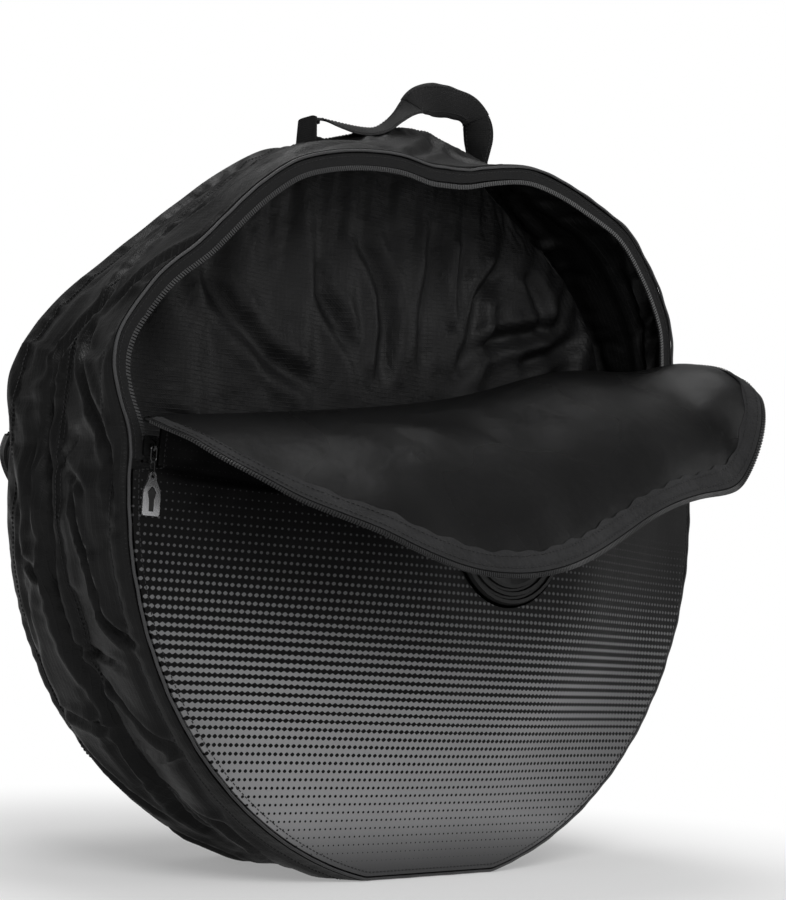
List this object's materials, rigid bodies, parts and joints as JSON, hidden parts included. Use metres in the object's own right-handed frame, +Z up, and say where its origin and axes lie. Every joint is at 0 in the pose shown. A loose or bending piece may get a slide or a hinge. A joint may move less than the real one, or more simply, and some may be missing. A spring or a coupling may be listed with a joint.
{
  "type": "bike wheel bag",
  "caption": "Round padded wheel bag with a fold-down zipped flap on each side, a middle divider, moulded axle pads and a webbing carry handle.",
  "frame": {"origin": "middle of the flattened foot that the bag stands on", "axes": "+Z up, -Y out of the front flap's side, +X towards the raised end of the fold lines"},
  "size_m": [0.72, 0.5748, 0.7925],
  "materials": {
    "black_ripstop": "soft wrinkled ripstop",
    "printed_panel": "padded cloth with a printed dot gradient",
    "satin_lining": "satin coated lining",
    "zip_tape": "woven tape",
    "zip_teeth": "satin moulded teeth",
    "reflective_piping": "light woven piping",
    "pad_rubber": "satin moulded",
    "webbing": "woven webbing",
    "dark_metal": "dark plated",
    "bright_metal": "bright plated"
  },
  "bodies": {
    "bag": {"gusset": "black_ripstop", "divider": "black_ripstop", "front_piping": "reflective_piping", "rear_piping": "reflective_piping", "front_lower_panel": "printed_panel", "rear_lower_panel": "printed_panel", "front_axle_pad": "pad_rubber", "rear_axle_pad": "pad_rubber", "front_rim_tape": "zip_tape", "rear_rim_tape": "zip_tape", "front_rim_teeth": "zip_teeth", "rear_rim_teeth": "zip_teeth", "front_zip_stop_left": "dark_metal", "rear_zip_stop_left": "dark_metal", "front_zip_stop_right": "dark_metal", "rear_zip_stop_right": "dark_metal", "handle_patch_left": "webbing", "handle_patch_right": "webbing", "handle_tab_left": "webbing", "handle_tab_right": "webbing"},
    "front_flap_base": {"front_flap_base_shell": "printed_panel", "front_flap_base_lining": "satin_lining", "front_flap_tape_left": "zip_tape", "front_flap_tape_right": "zip_tape", "front_flap_teeth_left": "zip_teeth", "front_flap_teeth_right": "zip_teeth"},
    "front_flap_tip": {"front_flap_tip_shell": "printed_panel", "front_flap_tip_lining": "satin_lining", "front_flap_tape_tip": "zip_tape", "front_flap_teeth_tip": "zip_teeth"},
    "front_slider": {"front_slider": "dark_metal"},
    "front_pull": {"front_pull": "bright_metal", "front_pull_insert": "pad_rubber", "front_pull_link_upper": "dark_metal", "front_pull_link_lower": "dark_metal"},
    "rear_flap_base": {"rear_flap_base_shell": "printed_panel", "rear_flap_base_lining": "satin_lining", "rear_flap_tape_left": "zip_tape", "rear_flap_tape_right": "zip_tape", "rear_flap_teeth_left": "zip_teeth", "rear_flap_teeth_right": "zip_teeth"},
    "rear_flap_tip": {"rear_flap_tip_shell": "printed_panel", "rear_flap_tip_lining": "satin_lining", "rear_flap_tape_tip": "zip_tape", "rear_flap_teeth_tip": "zip_teeth"},
    "rear_slider": {"rear_slider": "dark_metal"},
    "rear_pull": {"rear_pull": "bright_metal", "rear_pull_insert": "pad_rubber", "rear_pull_link_upper": "dark_metal", "rear_pull_link_lower": "dark_metal"},
    "handle": {"handle_strap": "webbing", "handle_wrap": "webbing"}
  },
  "joints": [
    {"name": "front_flap_fold", "type": "hinge", "parent": "bag", "child": "front_flap_base", "pos_m": [-0.01786, -0.0992, 0.44736], "axis": [-0.9833, 0, -0.1822], "range_deg": [-22, 110]},
    {"name": "front_flap_droop", "type": "hinge", "parent": "front_flap_base", "child": "front_flap_tip", "pos_m": [-0.011, -0.20257, 0.41036], "axis": [-0.9833, 0, -0.1822], "range_deg": [-6.4, 32]},
    {"name": "front_slider_travel", "type": "hinge", "parent": "bag", "child": "front_slider", "pos_m": [0, -0.0992, 0.351], "axis": [0, 1, 0], "range_deg": [0, 152.98]},
    {"name": "front_pull_swing", "type": "hinge", "parent": "front_slider", "child": "front_pull", "pos_m": [-0.33904, -0.1032, 0.36883], "axis": [1, 0, 0], "range_deg": [-85, 0]},
    {"name": "rear_flap_fold", "type": "hinge", "parent": "bag", "child": "rear_flap_base", "pos_m": [-0.01786, 0.0992, 0.44736], "axis": [0.9833, 0, 0.1822], "range_deg": [-22, 110]},
    {"name": "rear_flap_droop", "type": "hinge", "parent": "rear_flap_base", "child": "rear_flap_tip", "pos_m": [-0.011, 0.20257, 0.41036], "axis": [0.9833, 0, 0.1822], "range_deg": [-6.4, 32]},
    {"name": "rear_slider_travel", "type": "hinge", "parent": "bag", "child": "rear_slider", "pos_m": [0, 0.0992, 0.351], "axis": [0, 1, 0], "range_deg": [0, 152.98]},
    {"name": "rear_pull_swing", "type": "hinge", "parent": "rear_slider", "child": "rear_pull", "pos_m": [-0.33904, 0.1032, 0.36883], "axis": [-1, 0, 0], "range_deg": [-85, 0]},
    {"name": "handle_swing", "type": "hinge", "parent": "bag", "child": "handle", "pos_m": [0, 0, 0.717], "axis": [1, 0, 0], "range_deg": [-45, 45]}
  ],
  "couplings": [
    {"joint": "front_flap_droop", "follows": "front_flap_fold", "ratio": 0.29091},
    {"joint": "rear_flap_droop", "follows": "rear_flap_fold", "ratio": 0.29091}
  ]
}
